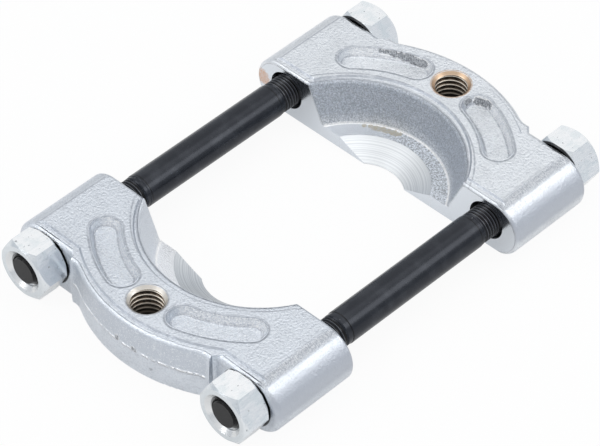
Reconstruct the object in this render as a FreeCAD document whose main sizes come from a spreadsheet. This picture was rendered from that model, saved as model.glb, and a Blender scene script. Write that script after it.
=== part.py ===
"""Bearing separator: two forged jaws with knife edges, drawn together by nuts on two studs.

Frame: origin under the middle of the tool on the surface it lies on, X across the studs,
Y along the studs, Z up. Lengths in millimetres, angles in degrees.
"""
import FreeCAD, Part
import Sketcher
import math
import os

SIZES = {
    "jaw_height": (25.0, "bottom face to the raised top face"),
    "rim_drop": (0.9, "how far the border lies below the raised top face"),
    "ear_length": (41.2, "parting face to nut seat"),
    "ear_wall": (16.8, "a stud's axis to the outside of its ear"),
    "arc_radius": (70.5, "outer wall of the arc, seen from above"),
    "arc_reach": (53.5, "parting face to the crown of the arc"),
    "blend_radius": (8.0, "blend between the arc and the forged ends of the ears"),
    "split_level": (11.5, "height of the forging's parting line"),
    "draft": (3.0, "draft of the forged outer walls"),
    "allowance": (1.6, "forged surplus that is milled off the parting face and the bottom"),
    "seat_surplus": (3.2, "forged surplus that is milled off the nut seats"),
    "seat_step": (38.2, "middle of the jaw to the step of a milled nut seat"),
    "step_foot": (1.1, "facet left by the cutter at the foot of the step"),
    "crown_radius": (2.2, "rounding of the arc's top edge"),
    "parting_radius": (1.5, "rounding round the parting face"),
    "seat_radius": (2.5, "rounding round the nut seats"),
    "bottom_radius": (0.8, "rounding of the arc's bottom edge"),
    "knife_radius": (18.2, "knife edge round the cone's axis"),
    "knife_land": (0.4, "height of the land at the knife edge"),
    "cone_radius": (28.8, "top of the turned cone round its axis"),
    "cone_setback": (14.4, "cone's axis, beyond the parting face"),
    "ledge_level": (6.1, "height of the ledge round the cone"),
    "bowl_radius": (38.1, "foot of the bowl's wall, at the ledge"),
    "bowl_setback": (17.6, "middle of the wall's foot, beyond the parting face"),
    "mouth_radius": (48.5, "the bowl's wall carried up to the top face"),
    "mouth_setback": (23.6, "middle of the bowl's mouth, beyond the parting face"),
    "lip_radius": (1.8, "rounding of the bowl's upper edge"),
    "raised_margin": (3.3, "parting face to the raised top face"),
    "raised_back": (4.1, "nut seat to the raised top face"),
    "raised_side": (5.5, "a stud's axis to the end of the raised top face"),
    "raised_arc": (70.0, "outer edge of the raised top face, seen from above"),
    "raised_crown": (49.2, "parting face to the crown of the raised top face"),
    "raised_bowl": (48.3, "inner edge of the raised top face, seen from above"),
    "raised_throat": (28.3, "parting face to the raised top face behind the bowl"),
    "raised_slope": (0.7, "width of the slope round the raised top face"),
    "shoulder_slope": (3.0, "width of the slope on the outside of an ear"),
    "pocket_radius": (58.2, "middle line of the kidney pockets"),
    "pocket_setback": (19.2, "centre of that line, beyond the parting face"),
    "pocket_near": (16.4, "angle of the pocket's end next to the tapped hole"),
    "pocket_far": (43.1, "angle of the pocket's end in the ear"),
    "pocket_width": (12.6, "pocket at the top face"),
    "floor_width": (9.4, "pocket at its floor"),
    "pocket_depth": (3.3, "top face to the pocket's floor"),
    "tap_setback": (39.3, "parting face to the tapped hole"),
    "tap_thread": (15.875, "puller rod's thread, major diameter"),
    "tap_chamfer": (0.2, "chamfer at both ends of the tapped hole"),
    "stud_spacing": (110.0, "between the studs' axes"),
    "stud_level": (12.5, "height of the studs' axes"),
    "stud_length": (200.0, "a stud's whole length"),
    "shank_diameter": (14.5, "plain middle of a stud"),
    "thread_diameter": (14.0, "stud thread, major diameter"),
    "thread_pitch": (1.5, "stud thread, pitch"),
    "front_thread": (60.6, "threaded length at a stud's front end"),
    "rear_thread": (61.3, "threaded length at a stud's rear end"),
    "collar_diameter": (14.1, "plain collar between a thread and the shank"),
    "left_collar": (1.9, "length of the left stud's front collar"),
    "right_collar": (2.9, "length of the right stud's front collar"),
    "rear_collar": (1.7, "length of the rear collars"),
    "end_chamfer": (1.8, "length of the chamfer on a stud's end"),
    "end_face": (11.2, "diameter of a stud's end face"),
    "stud_hole": (17.2, "clearance hole for a stud through an ear"),
    "thread_clearance": (0.05, "radial running clearance between stud and nut"),
    "nut_flats": (24.0, "nut across the flats"),
    "nut_height": (13.0, "nut from face to face"),
    "nut_overhang": (0.4, "nut's outer face beyond the stud's end, fully open"),
    "nut_chamfer_height": (2.1, "chamfer of the nut's corners, along the axis"),
    "nut_face": (23.2, "diameter of the nut's faces inside the chamfer"),
    "countersink": (18.6, "diameter of the nut's countersinks"),
}

PITCH_LINE_DEPTH = 0.6495
FULL_TURN = 360
HALF_TURN = 180
NEAR_ZERO = 1e-9
SLACK = 0.01

doc = FreeCAD.newDocument("bearing_separator")
sheet = doc.addObject("Spreadsheet::Sheet", "sizes")
names = []


def add_cell(name, content, meaning=""):
    """Add a named cell to the sheet, so that every piece reads the same size."""
    names.append(name)
    row = len(names)
    sheet.set(f"A{row}", name)
    sheet.set(f"B{row}", content)
    sheet.setAlias(f"B{row}", name)
    sheet.set(f"C{row}", meaning)


def fill_sheet():
    for name, (value, meaning) in SIZES.items():
        add_cell(name, str(value), meaning)
    add_cell("rim_level", "=jaw_height - rim_drop")
    add_cell("seat_place", "=stud_length / 2 + nut_overhang - nut_height")
    add_cell("parting_place", "=seat_place - ear_length")
    add_cell("pitch_diameter", f"=thread_diameter - {PITCH_LINE_DEPTH} * thread_pitch")
    add_cell("stud_half", "=stud_spacing / 2")
    add_cell("ear_reach", "=stud_half + ear_wall")
    add_cell("raised_end", "=stud_half + raised_side")
    add_cell("ear_round", "=(rim_level + allowance) / 2")
    add_cell("near_across", "=pocket_radius * sin(pocket_near * 1 deg)")
    add_cell("far_across", "=pocket_radius * sin(pocket_far * 1 deg)")
    add_cell("nut_corners", "=nut_flats / cos(30 deg)")
    doc.recompute()


def rewritten(formula, write):
    """The formula with each size's name put through a function."""
    words = formula.replace("(", " ( ").replace(")", " ) ").split()
    return " ".join(write(word) if word in names else word for word in words)


def bound(formula):
    return rewritten(formula, lambda word: f"sizes.{word}")


def value_of(formula):
    number = rewritten(formula, lambda word: str(float(sheet.get(word))))
    return FreeCAD.Units.Quantity(number).Value


def new_body(name):
    body = doc.addObject("PartDesign::Body", name)
    body.Label = name
    return body


def origin_plane(body, role):
    return next(plane for plane in body.Origin.OriginFeatures if plane.Role == role)


def new_sketch(body, name, plane, lift=None):
    """A sketch on one of the body's own planes, lifted along its normal by a formula."""
    sketch = body.newObject("Sketcher::SketchObject", name)
    sketch.AttachmentSupport = [(origin_plane(body, plane), "")]
    sketch.MapMode = "FlatFace"
    if lift:
        sketch.setExpression("AttachmentOffset.Base.z", bound(lift))
    return sketch


def drive(sketch, name, constraint, formula):
    """Add a dimension to a sketch and tie it to the sheet."""
    index = sketch.addConstraint(constraint)
    sketch.renameConstraint(index, name)
    sketch.setExpression(f"Constraints.{name}", bound(formula))


def add_line(sketch, start, end):
    segment = Part.LineSegment(FreeCAD.Vector(*start, 0), FreeCAD.Vector(*end, 0))
    return sketch.addGeometry(segment, False)


def add_arc(sketch, centre, radius, start, end):
    """An arc from one angle to another, in radians; returns its number."""
    ring = Part.Circle(FreeCAD.Vector(*centre, 0), FreeCAD.Vector(0, 0, 1), radius)
    return sketch.addGeometry(Part.ArcOfCircle(ring, start, end), False)


def join(sketch, kind, joints):
    """Meet pieces of an outline end to end; each joint is (piece, end, piece, end)."""
    for joint in joints:
        sketch.addConstraint(Sketcher.Constraint(kind, *joint))


def locate(sketch, name, piece, point, across, along):
    """Tie a point of a line or circle to two formulas, measured from the sketch's origin."""
    for axis, kind, formula in ((-2, "DistanceX", across), (-1, "DistanceY", along)):
        distance = value_of(formula)
        if abs(distance) < NEAR_ZERO:
            sketch.addConstraint(Sketcher.Constraint("PointOnObject", piece, point, axis))
        else:
            place = Sketcher.Constraint(kind, -1, 1, piece, point, distance)
            drive(sketch, f"{name}_{kind}", place, formula)


def outline(sketch, name, corners):
    """A closed outline of straight lines whose corners are pairs of formulas."""
    points = [(value_of(across), value_of(along)) for across, along in corners]
    ends = points[1:] + points[:1]
    lines = [add_line(sketch, start, end) for start, end in zip(points, ends)]
    following = lines[1:] + lines[:1]
    join(sketch, "Coincident", [(line, 2, after, 1) for line, after in zip(lines, following)])
    for number, (line, (across, along)) in enumerate(zip(lines, corners)):
        locate(sketch, f"{name}{number}", line, 1, across, along)
    return lines


def circle(sketch, name, across, along, diameter):
    centre = FreeCAD.Vector(value_of(across), value_of(along), 0)
    geometry = Part.Circle(centre, FreeCAD.Vector(0, 0, 1), value_of(diameter) / 2)
    ring = sketch.addGeometry(geometry, False)
    drive(sketch, f"{name}_d", Sketcher.Constraint("Diameter", ring, value_of(diameter)), diameter)
    locate(sketch, name, ring, 3, across, along)


def cut_checked(body, feature):
    """Recompute and make sure that the feature took material away."""
    before = feature.BaseFeature.Shape.Volume
    doc.recompute()
    if feature.Shape.Volume > before - SLACK:
        raise ValueError(f"{body.Name}.{feature.Name} cuts nothing")
    return feature


def cut(body, name, sketch, depth=None):
    """Cut a sketch out of the body, through everything or to a formula's depth."""
    feature = body.newObject("PartDesign::Pocket", name)
    feature.Profile = sketch
    feature.Midplane = depth is None
    if depth:
        feature.setExpression("Length", bound(depth))
    else:
        feature.Type = "ThroughAll"
    return cut_checked(body, feature)


def turn_out(body, name, sketch, axis):
    """Turn a sketch's outline out of the body, all the way round."""
    groove = body.newObject("PartDesign::Groove", name)
    groove.Profile = sketch
    groove.ReferenceAxis = (sketch, [axis])
    groove.Angle = FULL_TURN
    return cut_checked(body, groove)


def loft(body, kind, name, lower, upper):
    """A straight-sided loft between two sketches, added or cut away."""
    feature = body.newObject(f"PartDesign::{kind}", name)
    feature.Profile = lower
    feature.Sections = [upper]
    feature.Ruled = True
    doc.recompute()
    return feature


def edges_where(feature, wanted):
    """Names of the feature's edges that the test accepts."""
    edges = enumerate(feature.Shape.Edges, start=1)
    return [f"Edge{number}" for number, edge in edges if wanted(edge)]


def dress(body, kind, name, wanted, formula):
    """A fillet or chamfer on the edges that the test accepts, its size tied to the sheet."""
    base = body.Tip
    feature = body.newObject(f"PartDesign::{kind}", name)
    feature.Base = (base, edges_where(base, wanted))
    feature.setExpression("Radius" if kind == "Fillet" else "Size", bound(formula))
    doc.recompute()
    if "Up-to-date" not in feature.State:
        raise ValueError(f"{feature.Name} fails: {feature.getStatusString()}")


def span(edge, axis):
    box = edge.BoundBox
    return getattr(box, f"{axis}Min"), getattr(box, f"{axis}Max")


def lies_at(edge, axis, value):
    low, high = span(edge, axis)
    return abs(low - value) < SLACK and abs(high - value) < SLACK


def spans_middle(edge):
    left, right = span(edge, "X")
    return left < 0 < right


def is_round(edge):
    return edge.Curve.TypeId == "Part::GeomCircle" and edge.isClosed()


def forge_blank(body):
    """The forging: ears and arc in one outline, drafted up and down from its parting line."""
    sketch = new_sketch(body, f"{body.Name}_outline", "XY_Plane", "split_level")
    reach = value_of("ear_reach + allowance")
    front = -value_of("allowance")
    back = value_of("ear_length + seat_surplus")
    centre = value_of("arc_reach - arc_radius")
    radius = value_of("arc_radius")
    blend = value_of("blend_radius")
    rise = back + blend - centre
    middle = math.sqrt((radius + blend) ** 2 - rise ** 2)
    turn = math.atan2(rise, middle)
    face = add_line(sketch, (-reach, front), (reach, front))
    right = add_line(sketch, (reach, front), (reach, back))
    right_seat = add_line(sketch, (reach, back), (middle, back))
    left_seat = add_line(sketch, (-middle, back), (-reach, back))
    left = add_line(sketch, (-reach, back), (-reach, front))
    arc = add_arc(sketch, (0, centre), radius, turn, math.pi - turn)
    foot = 1.5 * math.pi
    right_blend = add_arc(sketch, (middle, back + blend), blend, math.pi + turn, foot)
    left_blend = add_arc(sketch, (-middle, back + blend), blend, foot, 2 * math.pi - turn)
    join(sketch, "Coincident", [(face, 2, right, 1), (right, 2, right_seat, 1),
                                (left_seat, 2, left, 1), (left, 2, face, 1)])
    join(sketch, "Tangent", [(right_seat, 2, right_blend, 2), (right_blend, 1, arc, 1),
                             (arc, 2, left_blend, 2), (left_blend, 1, left_seat, 1)])
    for line in (right_seat, left_seat):
        sketch.addConstraint(Sketcher.Constraint("Horizontal", line))
    for line in (right, left):
        sketch.addConstraint(Sketcher.Constraint("Vertical", line))
    sketch.addConstraint(Sketcher.Constraint("Symmetric", face, 1, face, 2, -2))
    sketch.addConstraint(Sketcher.Constraint("PointOnObject", arc, 3, -2))
    sketch.addConstraint(Sketcher.Constraint("Horizontal", arc, 1, arc, 2))
    sketch.addConstraint(Sketcher.Constraint("Equal", right_blend, left_blend))
    for name, formula, constraint in (
            ("width", "2 * ( ear_reach + allowance )", ("DistanceX", face, 1, face, 2, 2 * reach)),
            ("face", "allowance", ("DistanceY", face, 1, -1, 1, -front)),
            ("seat", "ear_length + seat_surplus", ("DistanceY", -1, 1, right, 2, back)),
            ("radius", "arc_radius", ("Radius", arc, radius)),
            ("blend", "blend_radius", ("Radius", right_blend, blend)),
            ("crown", "arc_radius - arc_reach", ("DistanceY", arc, 3, -1, 1, -centre))):
        drive(sketch, name, Sketcher.Constraint(*constraint), formula)
    pad = body.newObject("PartDesign::Pad", f"{body.Name}_forging")
    pad.Profile = sketch
    pad.SideType = "Two sides"
    pad.setExpression("Length", bound("rim_level - split_level"))
    pad.setExpression("Length2", bound("split_level + allowance"))
    pad.setExpression("TaperAngle", bound("0 - draft"))
    pad.setExpression("TaperAngle2", bound("0 - draft"))
    doc.recompute()


def ear_waste(sketch, side):
    """What lies outside one ear's full round; the side is 1 on the right, -1 on the left."""
    radius = value_of("ear_round")
    level = value_of("rim_level - ear_round")
    middle = side * value_of("ear_reach - ear_round")
    far = side * value_of("ear_reach + 3 * allowance")
    low = add_line(sketch, (middle, level - radius), (far, level - radius))
    outside = add_line(sketch, (far, level - radius), (far, level + radius))
    high = add_line(sketch, (far, level + radius), (middle, level + radius))
    start = -side * math.pi / 2
    arc = add_arc(sketch, (middle, level), radius, start, start + math.pi)
    bottom, top = (1, 2) if side > 0 else (2, 1)
    join(sketch, "Coincident", [(low, 2, outside, 1), (outside, 2, high, 1),
                                (high, 2, arc, top), (low, 1, arc, bottom)])
    for line in (low, high):
        sketch.addConstraint(Sketcher.Constraint("Horizontal", line))
    sketch.addConstraint(Sketcher.Constraint("Vertical", outside))
    for end in (bottom, top):
        sketch.addConstraint(Sketcher.Constraint("Vertical", arc, end, arc, 3))
    name = "right" if side > 0 else "left"
    sign = "" if side > 0 else "0 - "
    drive(sketch, f"{name}_round", Sketcher.Constraint("Radius", arc, radius), "ear_round")
    locate(sketch, name, arc, 3, f"{sign}( ear_reach - ear_round )", "rim_level - ear_round")
    limit = Sketcher.Constraint("DistanceX", -1, 1, outside, 1, far)
    drive(sketch, f"{name}_limit", limit, f"{sign}( ear_reach + 3 * allowance )")


def round_ears(body):
    """Both ears are full rounds on the outside."""
    sketch = new_sketch(body, f"{body.Name}_rounds", "XZ_Plane")
    for side in (1, -1):
        ear_waste(sketch, side)
    cut(body, f"{body.Name}_ear_rounds", sketch)


def mill_faces(body):
    """The parting face and both nut seats are milled flat; the seats leave a step in the arc."""
    far = "( ear_reach + 4 * allowance )"
    low = "0 - 3 * allowance"
    sketch = new_sketch(body, f"{body.Name}_parting", "XY_Plane")
    outline(sketch, "face", [(f"0 - {far}", low), (far, low), (far, "0"), (f"0 - {far}", "0")])
    cut(body, f"{body.Name}_parting_face", sketch)
    sketch = new_sketch(body, f"{body.Name}_seats", "XY_Plane")
    beyond = "arc_reach + allowance"
    for name, sign in (("right", ""), ("left", "0 - ")):
        outline(sketch, name, [(f"{sign}( seat_step + step_foot )", "ear_length"),
                               (f"{sign}{far}", "ear_length"), (f"{sign}{far}", beyond),
                               (f"{sign}seat_step", beyond),
                               (f"{sign}seat_step", "ear_length + step_foot")])
    cut(body, f"{body.Name}_nut_seats", sketch)


def round_edges(body):
    """The edges of the nut seats, the crown of the arc and the edges of the parting face."""
    seat = value_of("ear_length")
    rim = value_of("rim_level")
    dress(body, "Fillet", f"{body.Name}_seat_edges",
          lambda edge: lies_at(edge, "Y", seat) and lies_at(edge, "Z", rim), "seat_radius")
    dress(body, "Fillet", f"{body.Name}_crown",
          lambda edge: lies_at(edge, "Z", rim) and span(edge, "Y")[0] > seat
          and spans_middle(edge), "crown_radius")
    dress(body, "Fillet", f"{body.Name}_parting_edge",
          lambda edge: lies_at(edge, "Y", 0) and lies_at(edge, "Z", rim), "parting_radius")


def mill_bottom(body):
    sketch = new_sketch(body, f"{body.Name}_bottom", "XY_Plane")
    far = "( ear_reach + 4 * allowance )"
    beyond = "( arc_reach + 4 * allowance )"
    low = "0 - 4 * allowance"
    outline(sketch, "waste", [(f"0 - {far}", low), (far, low), (far, beyond),
                              (f"0 - {far}", beyond)])
    cut(body, f"{body.Name}_bottom_face", sketch, "4 * allowance")


def sink_bowl(body):
    """The bowl: a drafted wall down to the ledge, then a turned cone down to the knife edge."""
    foot = new_sketch(body, f"{body.Name}_bowl_foot", "XY_Plane", "ledge_level")
    circle(foot, "foot", "0", "0 - bowl_setback", "2 * bowl_radius")
    mouth = new_sketch(body, f"{body.Name}_bowl_mouth", "XY_Plane", "jaw_height")
    circle(mouth, "mouth", "0", "0 - mouth_setback", "2 * mouth_radius")
    loft(body, "SubtractiveLoft", f"{body.Name}_bowl_wall", foot, mouth)
    profile = new_sketch(body, f"{body.Name}_cone_profile", "YZ_Plane")
    axis = "0 - cone_setback"
    lines = outline(profile, "cone", [(axis, "0 - allowance"),
                                      ("knife_radius - cone_setback", "0 - allowance"),
                                      ("knife_radius - cone_setback", "knife_land"),
                                      ("cone_radius - cone_setback", "ledge_level"),
                                      ("cone_radius - cone_setback", "ledge_level + allowance"),
                                      (axis, "ledge_level + allowance")])
    turn_out(body, f"{body.Name}_knife_cone", profile, f"Edge{lines[-1] + 1}")


def round_lip(body):
    """The bowl's upper edge and the arc's bottom edge."""
    rim = value_of("rim_level")
    back = value_of("ear_length")
    dress(body, "Fillet", f"{body.Name}_lip",
          lambda edge: lies_at(edge, "Z", rim) and span(edge, "Y")[1] < back
          and spans_middle(edge) and edge.Curve.TypeId != "Part::GeomLine", "lip_radius")
    dress(body, "Fillet", f"{body.Name}_foot_edge",
          lambda edge: lies_at(edge, "Z", 0) and span(edge, "Y")[0] > back
          and spans_middle(edge), "bottom_radius")


def raised_outline(body, name, level, margin, side, back, crown, outer, throat, inner):
    """One outline of the raised top face, each size a formula."""
    sketch = new_sketch(body, name, "XY_Plane", level)
    low, wide, high = value_of(margin), value_of(side), value_of(back)
    outer_centre = value_of(f"{crown} - ( {outer} )")
    inner_centre = value_of(f"{throat} - ( {inner} )")
    outer_radius, inner_radius = value_of(outer), value_of(inner)
    notch = math.sqrt(outer_radius ** 2 - (high - outer_centre) ** 2)
    mouth = math.sqrt(inner_radius ** 2 - (low - inner_centre) ** 2)
    front_r = add_line(sketch, (mouth, low), (wide, low))
    side_r = add_line(sketch, (wide, low), (wide, high))
    back_r = add_line(sketch, (wide, high), (notch, high))
    back_l = add_line(sketch, (-notch, high), (-wide, high))
    side_l = add_line(sketch, (-wide, high), (-wide, low))
    front_l = add_line(sketch, (-wide, low), (-mouth, low))
    turn = math.atan2(high - outer_centre, notch)
    arc = add_arc(sketch, (0, outer_centre), outer_radius, turn, math.pi - turn)
    turn = math.atan2(low - inner_centre, mouth)
    throat_arc = add_arc(sketch, (0, inner_centre), inner_radius, turn, math.pi - turn)
    join(sketch, "Coincident", [(front_r, 2, side_r, 1), (side_r, 2, back_r, 1),
                                (back_r, 2, arc, 1), (arc, 2, back_l, 1),
                                (back_l, 2, side_l, 1), (side_l, 2, front_l, 1),
                                (front_l, 2, throat_arc, 2), (throat_arc, 1, front_r, 1)])
    for line in (front_r, back_r, back_l, front_l):
        sketch.addConstraint(Sketcher.Constraint("Horizontal", line))
    for line in (side_r, side_l):
        sketch.addConstraint(Sketcher.Constraint("Vertical", line))
    for ring in (arc, throat_arc):
        sketch.addConstraint(Sketcher.Constraint("PointOnObject", ring, 3, -2))
        sketch.addConstraint(Sketcher.Constraint("Horizontal", ring, 1, ring, 2))
    for label, formula, constraint in (
            ("margin", margin, ("DistanceY", -1, 1, side_r, 1, low)),
            ("back", back, ("DistanceY", -1, 1, side_r, 2, high)),
            ("right", side, ("DistanceX", -1, 1, side_r, 1, wide)),
            ("left", side, ("DistanceX", side_l, 1, -1, 1, wide)),
            ("outer", outer, ("Radius", arc, outer_radius)),
            ("inner", inner, ("Radius", throat_arc, inner_radius)),
            ("crown", f"{outer} - ( {crown} )", ("DistanceY", arc, 3, -1, 1, -outer_centre)),
            ("throat", f"{inner} - ( {throat} )",
             ("DistanceY", throat_arc, 3, -1, 1, -inner_centre))):
        drive(sketch, label, Sketcher.Constraint(*constraint), formula)
    return sketch


def raise_top(body):
    """The raised top face, its sides sloping down into the border all round."""
    back = "ear_length - raised_back"
    top = raised_outline(body, f"{body.Name}_raised_edge", "jaw_height", "raised_margin",
                         "raised_end", back, "raised_crown", "raised_arc", "raised_throat",
                         "raised_bowl")
    slope = "2 * raised_slope"
    foot = raised_outline(body, f"{body.Name}_raised_foot", "jaw_height - 2 * rim_drop",
                          f"raised_margin - {slope}", "raised_end + shoulder_slope",
                          f"{back} + {slope}", f"raised_crown + {slope}", f"raised_arc + {slope}",
                          f"raised_throat - {slope}", f"raised_bowl - {slope}")
    loft(body, "AdditiveLoft", f"{body.Name}_raised_face", foot, top)


def kidney_outline(body, name, level, width):
    """A slot bent round the bowl: two arcs on one centre, closed by two round ends."""
    sketch = new_sketch(body, name, "XY_Plane", level)
    centre = -value_of("pocket_setback")
    middle = value_of("pocket_radius")
    half = value_of(width) / 2
    near = math.pi / 2 - math.radians(value_of("pocket_near"))
    far = math.pi / 2 - math.radians(value_of("pocket_far"))
    ends = [(middle * math.cos(turn), centre + middle * math.sin(turn)) for turn in (near, far)]
    outer = add_arc(sketch, (0, centre), middle + half, far, near)
    inner = add_arc(sketch, (0, centre), middle - half, far, near)
    near_cap = add_arc(sketch, ends[0], half, near, near + math.pi)
    far_cap = add_arc(sketch, ends[1], half, far + math.pi, far + 2 * math.pi)
    join(sketch, "Tangent", [(outer, 2, near_cap, 1), (near_cap, 2, inner, 2),
                             (inner, 1, far_cap, 1), (far_cap, 2, outer, 1)])
    sketch.addConstraint(Sketcher.Constraint("PointOnObject", outer, 3, -2))
    sketch.addConstraint(Sketcher.Constraint("Coincident", outer, 3, inner, 3))
    for label, formula, constraint in (
            ("centre", "pocket_setback", ("DistanceY", outer, 3, -1, 1, -centre)),
            ("outer", f"pocket_radius + {width} / 2", ("Radius", outer, middle + half)),
            ("inner", f"pocket_radius - {width} / 2", ("Radius", inner, middle - half)),
            ("near", "near_across", ("DistanceX", -1, 1, near_cap, 3, ends[0][0])),
            ("far", "far_across", ("DistanceX", -1, 1, far_cap, 3, ends[1][0]))):
        drive(sketch, label, Sketcher.Constraint(*constraint), formula)
    return sketch


def sink_pockets(body):
    """A kidney-shaped pocket with sloping walls on each side of the tapped hole."""
    mouth = kidney_outline(body, f"{body.Name}_pocket_mouth", "jaw_height", "pocket_width")
    floor = kidney_outline(body, f"{body.Name}_pocket_floor", "jaw_height - pocket_depth",
                           "floor_width")
    right = loft(body, "SubtractiveLoft", f"{body.Name}_right_pocket", mouth, floor)
    both = body.newObject("PartDesign::Mirrored", f"{body.Name}_pockets")
    both.Originals = [right]
    both.MirrorPlane = (origin_plane(body, "YZ_Plane"), [""])
    body.Tip = both
    doc.recompute()


def drill(body):
    """The tapped hole for a puller rod, and the clearance holes for the studs."""
    sketch = new_sketch(body, f"{body.Name}_tapping", "XY_Plane")
    circle(sketch, "tap", "0", "tap_setback", "tap_thread")
    cut(body, f"{body.Name}_tapped_hole", sketch)
    middle = FreeCAD.Vector(0, value_of("tap_setback"), 0)
    dress(body, "Chamfer", f"{body.Name}_tap_chamfers",
          lambda edge: is_round(edge) and FreeCAD.Vector(
              edge.CenterOfMass.x, edge.CenterOfMass.y, 0).distanceToPoint(middle) < SLACK,
          "tap_chamfer")
    sketch = new_sketch(body, f"{body.Name}_drilling", "XZ_Plane")
    for name, sign in (("right", ""), ("left", "0 - ")):
        circle(sketch, name, f"{sign}stud_half", "stud_level", "stud_hole")
    cut(body, f"{body.Name}_stud_holes", sketch)


def place_out(body, turn, across, along, up):
    """Stand a piece on the rear side, or turn it half round onto the front side."""
    sign = "" if turn == 0 else "0 - "
    body.Placement.Rotation = FreeCAD.Rotation(FreeCAD.Vector(0, 0, 1), turn)
    body.setExpression("Placement.Base.x", bound(across))
    body.setExpression("Placement.Base.y", bound(f"{sign}{along}"))
    body.setExpression("Placement.Base.z", bound(up))
    doc.recompute()


def make_jaw(name, turn):
    """One forged jaw; its own origin lies in the parting face, and it reaches out along +Y."""
    body = new_body(name)
    for step in (forge_blank, round_ears, mill_faces, round_edges, mill_bottom, sink_bowl,
                 round_lip, raise_top, sink_pockets, drill):
        step(body)
    place_out(body, turn, "0", "parting_place", "0")
    return body


def make_stud(name, across, front_collar):
    """A stud: plain shank, a collar and a reduced thread at each end, chamfered ends."""
    body = new_body(name)
    sketch = new_sketch(body, f"{name}_profile", "YZ_Plane")
    front, rear = "0 - stud_length / 2", "stud_length / 2"
    core = "( pitch_diameter / 2 - thread_clearance )"
    collar, shank = "collar_diameter / 2", "shank_diameter / 2"
    runout = f"( {collar} - {core} )"
    bevel = f"( {shank} - {collar} )"
    front_end = f"{front} + front_thread"
    front_step = f"{front_end} + {front_collar}"
    rear_end = f"{rear} - rear_thread"
    rear_step = f"{rear_end} - rear_collar"
    outline(sketch, "corner", [(front, "0"), (front, "end_face / 2"),
                               (f"{front} + end_chamfer", core), (front_end, core),
                               (f"{front_end} + {runout}", collar), (front_step, collar),
                               (f"{front_step} + {bevel}", shank),
                               (f"{rear_step} - {bevel}", shank), (rear_step, collar),
                               (f"{rear_end} - {runout}", collar), (rear_end, core),
                               (f"{rear} - end_chamfer", core), (rear, "end_face / 2"),
                               (rear, "0")])
    turned = body.newObject("PartDesign::Revolution", f"{name}_turned")
    turned.Profile = sketch
    turned.ReferenceAxis = (sketch, ["H_Axis"])
    turned.Angle = FULL_TURN
    place_out(body, 0, across, "0", "stud_level")
    return body


def chamfer_nut(body):
    """Turn the corners of the hexagon back to the round faces, on both sides."""
    profile = new_sketch(body, f"{body.Name}_chamfer_profile", "YZ_Plane")
    rise = "nut_chamfer_height"
    run = "( ( nut_corners - nut_face ) / 2 )"
    beyond = "( nut_corners / 2 + 1 )"
    depth = f"{rise} * ( {beyond} - nut_face / 2 ) / {run}"
    for name, face, inward, outward in (("seat", "0", "+", "-"), ("outer", "nut_height", "-", "+")):
        away = f"{face} {outward} {rise}"
        outline(profile, name, [(face, "nut_face / 2"), (f"{face} {inward} {depth}", beyond),
                                (away, beyond), (away, "nut_face / 2")])
    turn_out(body, f"{body.Name}_chamfers", profile, "H_Axis")


def make_nut(name, turn, across):
    """A hexagon nut, chamfered and countersunk on both faces; its seat is its own origin."""
    body = new_body(name)
    sketch = new_sketch(body, f"{name}_hexagon", "XZ_Plane")
    corner, half_side, flat = "nut_corners / 2", "nut_corners / 4", "nut_flats / 2"
    outline(sketch, "corner", [(corner, "0"), (half_side, flat), (f"0 - {half_side}", flat),
                               (f"0 - {corner}", "0"), (f"0 - {half_side}", f"0 - {flat}"),
                               (half_side, f"0 - {flat}")])
    pad = body.newObject("PartDesign::Pad", f"{name}_blank")
    pad.Profile = sketch
    pad.Reversed = True
    pad.setExpression("Length", bound("nut_height"))
    doc.recompute()
    chamfer_nut(body)
    bore = new_sketch(body, f"{name}_bore_circle", "XZ_Plane")
    circle(bore, "bore", "0", "0", "pitch_diameter")
    cut(body, f"{name}_bore", bore)
    radius = value_of("pitch_diameter / 2")
    dress(body, "Chamfer", f"{name}_countersinks",
          lambda edge: is_round(edge) and abs(edge.Curve.Radius - radius) < SLACK,
          "( countersink - pitch_diameter ) / 2")
    place_out(body, turn, across, "seat_place", "stud_level")
    return body


def check(pieces):
    """Stop on any failed object and on any piece without a sound solid."""
    for item in doc.Objects:
        if "Invalid" in item.State or "Error" in item.State:
            raise ValueError(f"{item.Name} has failed: {item.getStatusString()}")
    for piece in pieces:
        shape = piece.Shape
        if shape.isNull() or not shape.isValid() or len(shape.Solids) != 1:
            raise ValueError(f"{piece.Label} is no sound solid")
        print(f"{piece.Label}: {shape.Volume:.0f} mm3, {shape.optimalBoundingBox(False)}")


fill_sheet()
pieces = [make_jaw("rear_jaw", 0), make_jaw("front_jaw", HALF_TURN)]
for side, across in (("left", "0 - stud_half"), ("right", "stud_half")):
    pieces.append(make_stud(f"{side}_stud", across, f"{side}_collar"))
    pieces.append(make_nut(f"front_{side}_nut", HALF_TURN, across))
    pieces.append(make_nut(f"rear_{side}_nut", 0, across))
check(pieces)
os.makedirs("parts", exist_ok=True)
for piece in pieces:
    piece.Shape.exportStep(f"parts/{piece.Label}.step")
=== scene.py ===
# %% [markdown]
# # A bearing separator
# Two forged jaws with knife edges slide on two black studs, and four nuts draw them together
# behind a bearing's race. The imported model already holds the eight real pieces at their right
# sizes, so nothing is modelled twice here: it comes in as a fixed frame, and this script gives it
# its finishes, the screw threads and the light.

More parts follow.
